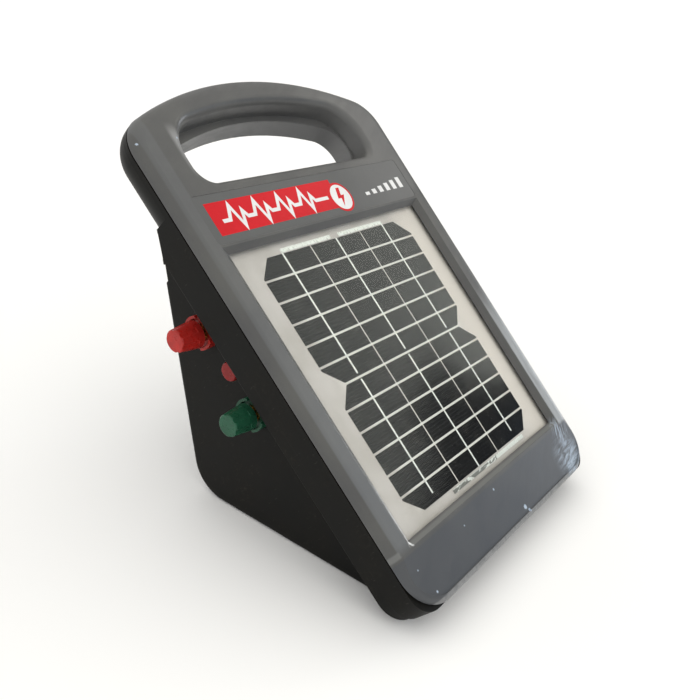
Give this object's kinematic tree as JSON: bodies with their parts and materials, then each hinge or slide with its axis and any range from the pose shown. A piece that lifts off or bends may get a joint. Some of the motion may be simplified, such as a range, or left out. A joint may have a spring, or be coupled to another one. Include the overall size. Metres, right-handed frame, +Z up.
{
  "type": "solar fence energizer",
  "caption": "Self-contained solar electric-fence energizer: wedge-shaped case with a carrying handle, a sloping solar panel, two screw terminals and a push button.",
  "frame": {"origin": "middle of the flat base that it stands on", "axes": "+Z up from the base, -Y towards the low front edge of the panel, -X towards the side with the terminals"},
  "size_m": [0.24, 0.2729, 0.2352],
  "materials": {
    "grey_abs": "fine moulded grain, slightly worn",
    "black_abs": "fine moulded grain",
    "seal_rubber": "matt",
    "zinc_steel": "zinc plated",
    "panel_glass": "clear tempered",
    "silicon": "anti-reflection coated silicon",
    "tinned_copper": "tinned",
    "backsheet_white": "satin film",
    "board_laminate": "fibreglass laminate",
    "black_nylon": "moulded",
    "label_print": "printed film",
    "red_plastic": "moulded",
    "green_plastic": "moulded",
    "brass": "turned",
    "battery_plastic": "moulded",
    "tin_plate": "tinned",
    "foam": "closed-cell foam",
    "winding_tape": "polyester tape over copper wire",
    "ferrite_core": "laminated steel",
    "capacitor_sleeve": "shrink sleeve",
    "black_epoxy": "moulded",
    "red_wire": "wire insulation",
    "black_wire": "wire insulation",
    "green_wire": "wire insulation"
  },
  "bodies": {
    "root": {"front_cover": "grey_abs", "cover_seal": "seal_rubber", "rear_housing": "black_abs", "housing_screws": "zinc_steel", "panel_glass": "panel_glass", "panel_gasket": "seal_rubber", "solar_cells": "silicon", "cell_ribbons": "tinned_copper", "panel_backsheet": "backsheet_white", "panel_board": "board_laminate", "panel_clips": "black_nylon", "clip_screws": "zinc_steel", "junction_box": "black_nylon", "label_film": "label_print", "switch_body": "black_nylon", "divider_plate": "black_abs", "circuit_board": "board_laminate", "board_screws": "zinc_steel", "transformer_core": "ferrite_core", "transformer_winding": "winding_tape", "storage_capacitor": "capacitor_sleeve", "board_components": "black_epoxy", "board_connectors": "green_plastic", "fence_lead": "red_wire", "earth_lead": "green_wire", "battery_lead_red": "red_wire", "battery_lead_black": "black_wire", "panel_lead": "black_wire", "battery": "battery_plastic", "battery_tabs": "tin_plate", "tab_boots": "black_nylon", "battery_pad": "foam", "battery_foam": "foam", "fence_terminal_base": "red_plastic", "fence_terminal_stud": "brass", "fence_terminal_nut": "brass", "fence_terminal_lug": "tin_plate", "earth_terminal_base": "green_plastic", "earth_terminal_stud": "brass", "earth_terminal_nut": "brass", "earth_terminal_lug": "tin_plate"},
    "fence_washer": {"fence_terminal_washer": "brass"},
    "fence_knob": {"fence_terminal_knob": "red_plastic"},
    "earth_washer": {"earth_terminal_washer": "brass"},
    "earth_knob": {"earth_terminal_knob": "green_plastic"},
    "power_button": {"power_button": "red_plastic"}
  },
  "joints": [
    {"name": "fence_washer_slide", "type": "slide", "parent": "root", "child": "fence_washer", "axis": [-1, 0, 0], "range_m": [-0.003, 0.003]},
    {"name": "fence_knob_turn", "type": "hinge", "parent": "fence_washer", "child": "fence_knob", "pos_m": [-0.1072, 0.08797, 0.11402], "axis": [-1, 0, 0], "range_deg": [-1080, 1080]},
    {"name": "earth_washer_slide", "type": "slide", "parent": "root", "child": "earth_washer", "axis": [-1, 0, 0], "range_m": [-0.003, 0.003]},
    {"name": "earth_knob_turn", "type": "hinge", "parent": "earth_washer", "child": "earth_knob", "pos_m": [-0.1072, 0.04367, 0.07815], "axis": [-1, 0, 0], "range_deg": [-1080, 1080]},
    {"name": "power_button_press", "type": "slide", "parent": "root", "child": "power_button", "axis": [1, 0, 0], "range_m": [0, 0.0015], "stiffness_N_per_m": 600, "springref_m": -0.0005}
  ],
  "couplings": [
    {"joint": "fence_washer_slide", "follows": "fence_knob_turn", "m_per_rad": 0.00015915},
    {"joint": "earth_washer_slide", "follows": "earth_knob_turn", "m_per_rad": 0.00015915}
  ]
}
